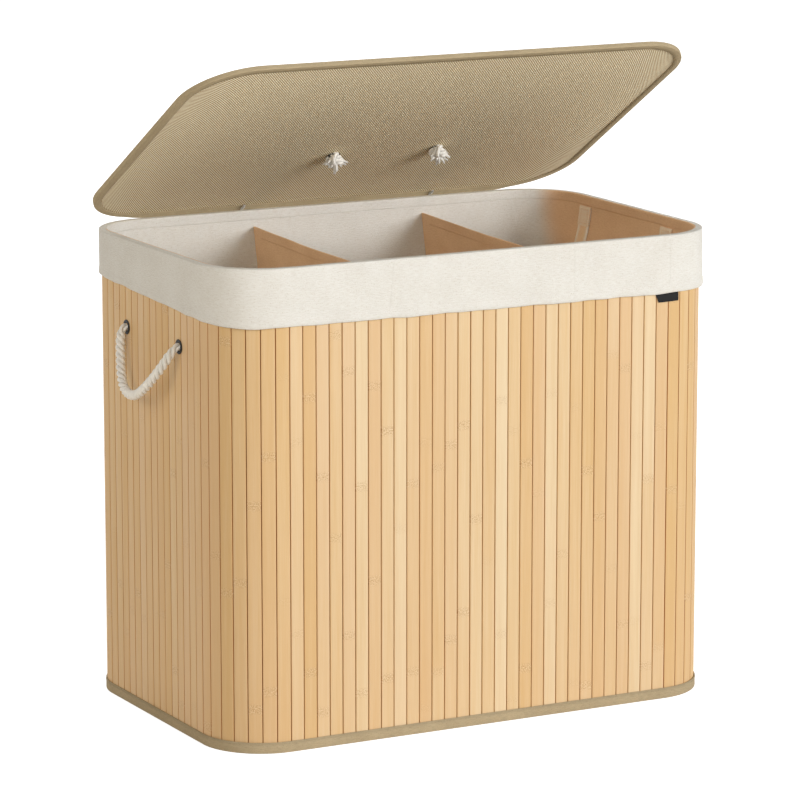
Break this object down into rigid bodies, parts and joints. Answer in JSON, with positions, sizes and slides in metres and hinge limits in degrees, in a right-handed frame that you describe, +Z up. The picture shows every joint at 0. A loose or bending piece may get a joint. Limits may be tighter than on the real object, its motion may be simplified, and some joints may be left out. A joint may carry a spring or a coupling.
{
  "type": "laundry hamper",
  "caption": "Upright laundry hamper of bamboo slats with rounded corners, a folded cotton liner in three compartments and a hinged flat lid.",
  "frame": {"origin": "middle of the base's underside, on the floor", "axes": "+Z up, +X along the width to the right seen from the front, -Y towards the front, the lid hinged along +Y"},
  "size_m": [0.7158, 0.4213, 0.7838],
  "materials": {
    "bamboo": "varnished bamboo slats with fine grain and darker knuckles",
    "cotton": "matt cream cotton with a slubby plain weave",
    "divider_cotton": "matt beige cotton",
    "khaki_tape": "matt woven binding tape",
    "khaki_cloth": "two-tone diagonal weave",
    "cotton_rope": "soft three-strand twisted cotton",
    "black_metal": "black eyelet",
    "black_ribbon": "plain woven ribbon",
    "fibreboard": "raw fibreboard"
  },
  "bodies": {
    "root": {"front_slats": "bamboo", "right_slats": "bamboo", "back_slats": "bamboo", "left_slats": "bamboo", "front_right_corner_slats": "bamboo", "back_right_corner_slats": "bamboo", "back_left_corner_slats": "bamboo", "front_left_corner_slats": "bamboo", "wall_cloth": "khaki_cloth", "wall_seam_tape": "khaki_tape", "top_binding": "khaki_tape", "bottom_binding": "khaki_tape", "base_cloth": "khaki_cloth", "base_board": "fibreboard", "liner_cuff": "cotton", "liner_walls": "cotton", "liner_floor": "cotton", "divider_left": "divider_cotton", "divider_right": "divider_cotton", "liner_strap_left": "cotton", "liner_strap_right": "cotton", "tag": "black_ribbon", "left_handle_eyelet_front": "black_metal", "left_handle_knot_front": "cotton_rope", "left_handle_eyelet_back": "black_metal", "left_handle_knot_back": "cotton_rope", "tie_eyelet_left": "black_metal", "tie_knot_left": "cotton_rope", "hinge_tie_left": "cotton_rope", "right_handle_eyelet_front": "black_metal", "right_handle_knot_front": "cotton_rope", "right_handle_eyelet_back": "black_metal", "right_handle_knot_back": "cotton_rope", "tie_eyelet_right": "black_metal", "tie_knot_right": "cotton_rope", "hinge_tie_right": "cotton_rope"},
    "lid": {"lid_slats": "bamboo", "lid_cloth": "khaki_cloth", "lid_binding": "khaki_tape", "lid_handle_eyelet_left": "black_metal", "lid_handle_eyelet_right": "black_metal", "lid_handle_knot_left": "cotton_rope", "lid_handle_knot_right": "cotton_rope"},
    "lid_handle": {"lid_handle_rope": "cotton_rope"},
    "left_handle": {"left_handle_rope": "cotton_rope"},
    "right_handle": {"right_handle_rope": "cotton_rope"}
  },
  "joints": [
    {"name": "lid_hinge", "type": "hinge", "parent": "root", "child": "lid", "pos_m": [0, 0.2119, 0.5625], "axis": [-1, 0, 0], "range_deg": [-31, 184], "deforming": ["hinge_tie_left", "hinge_tie_right"]},
    {"name": "lid_handle_swing", "type": "hinge", "parent": "lid", "child": "lid_handle", "pos_m": [0.024, 0.09244, 0.6491], "axis": [1, 0, 0], "range_deg": [0, 165]},
    {"name": "left_handle_swing", "type": "hinge", "parent": "root", "child": "left_handle", "pos_m": [-0.333, 0, 0.457], "axis": [0, 1, 0], "range_deg": [0, 120]},
    {"name": "right_handle_swing", "type": "hinge", "parent": "root", "child": "right_handle", "pos_m": [0.333, 0, 0.457], "axis": [0, -1, 0], "range_deg": [0, 120]}
  ]
}
